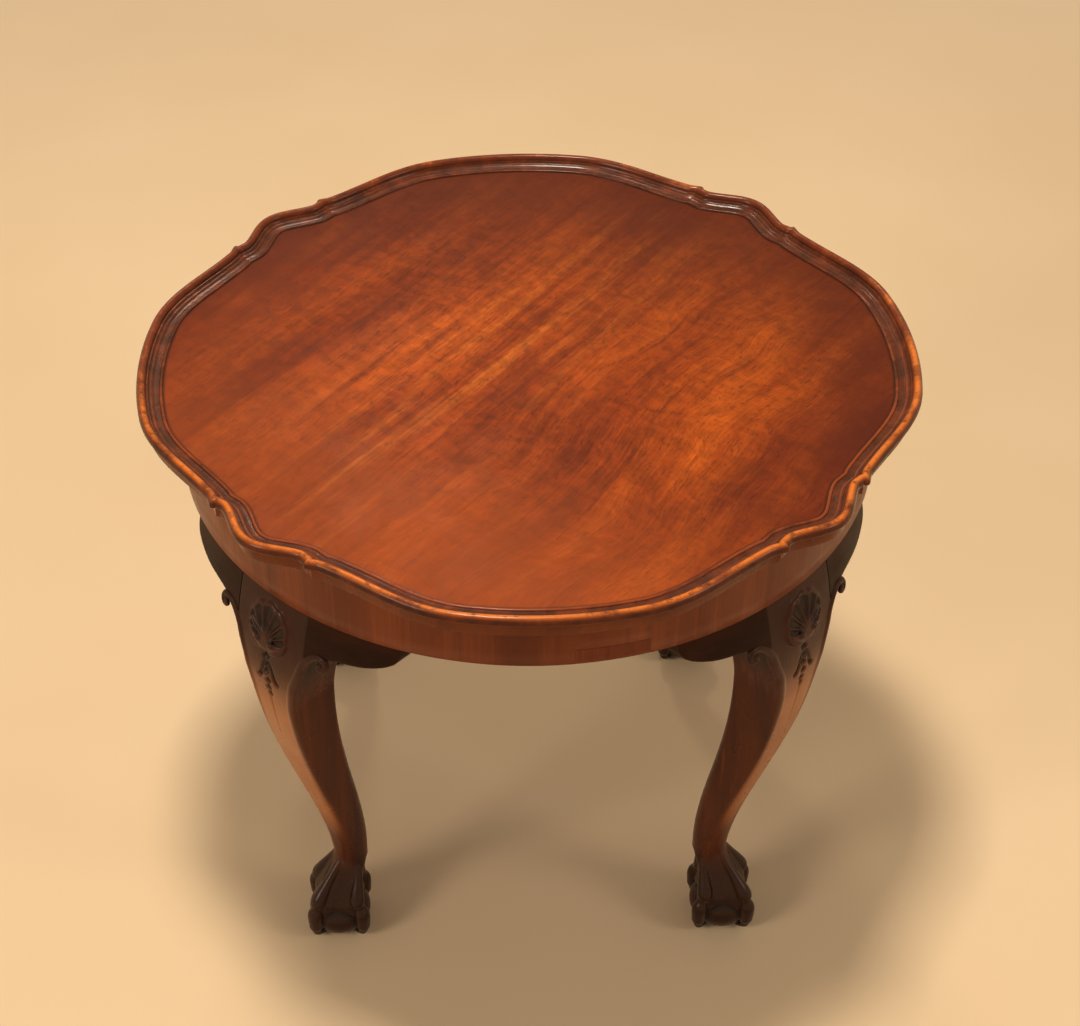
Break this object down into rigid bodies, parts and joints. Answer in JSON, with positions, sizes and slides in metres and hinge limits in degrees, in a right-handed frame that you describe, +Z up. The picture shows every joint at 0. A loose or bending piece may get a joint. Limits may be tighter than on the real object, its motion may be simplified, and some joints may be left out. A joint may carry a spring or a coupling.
{
  "type": "tray top tea table",
  "caption": "Low round mahogany tea table: piecrust tray top on a curved frieze, cabriole legs with shell knees and ears, claw and ball feet.",
  "frame": {"origin": "on the floor, under the middle of the round top", "axes": "+Z up; -Y is the front, the side with the patched frieze; legs stand on the diagonals between the axes"},
  "size_m": [0.615, 0.615, 0.497],
  "materials": {
    "top": "French-polished mahogany, satin",
    "frieze": "polished mahogany veneer, grain upright",
    "legs": "dark polished mahogany, worn on the fronts",
    "ears": "dark polished mahogany",
    "core": "bare pine, aged",
    "blocks": "bare pine, aged, glue at the edges",
    "screws": "dull old steel"
  },
  "bodies": {
    "root": {"tray_top": "top", "frieze_brick_1_1": "core", "frieze_brick_1_2": "core", "frieze_brick_1_3": "core", "frieze_brick_1_4": "core", "frieze_brick_1_5": "core", "frieze_brick_1_6": "core", "frieze_brick_2_1": "core", "frieze_brick_2_2": "core", "frieze_brick_2_3": "core", "frieze_brick_2_4": "core", "frieze_brick_2_5": "core", "frieze_brick_2_6": "core", "frieze_brick_3_1": "core", "frieze_brick_3_2": "core", "frieze_brick_3_3": "core", "frieze_brick_3_4": "core", "frieze_brick_3_5": "core", "frieze_brick_3_6": "core", "frieze_veneer_right": "frieze", "frieze_veneer_back": "frieze", "frieze_veneer_left": "frieze", "frieze_veneer_front": "frieze", "frieze_patch": "frieze", "leg_back_right": "legs", "leg_back_left": "legs", "leg_front_left": "legs", "leg_front_right": "legs", "ear_back_right_left": "ears", "ear_back_right_right": "ears", "ear_back_left_left": "ears", "ear_back_left_right": "ears", "ear_front_left_left": "ears", "ear_front_left_right": "ears", "ear_front_right_left": "ears", "ear_front_right_right": "ears", "glue_block_1": "blocks", "glue_block_2": "blocks", "glue_block_3": "blocks", "glue_block_4": "blocks", "glue_block_5": "blocks", "glue_block_6": "blocks", "glue_block_7": "blocks", "glue_block_8": "blocks", "block_screws": "screws", "post_screws": "screws"}
  },
  "joints": []
}
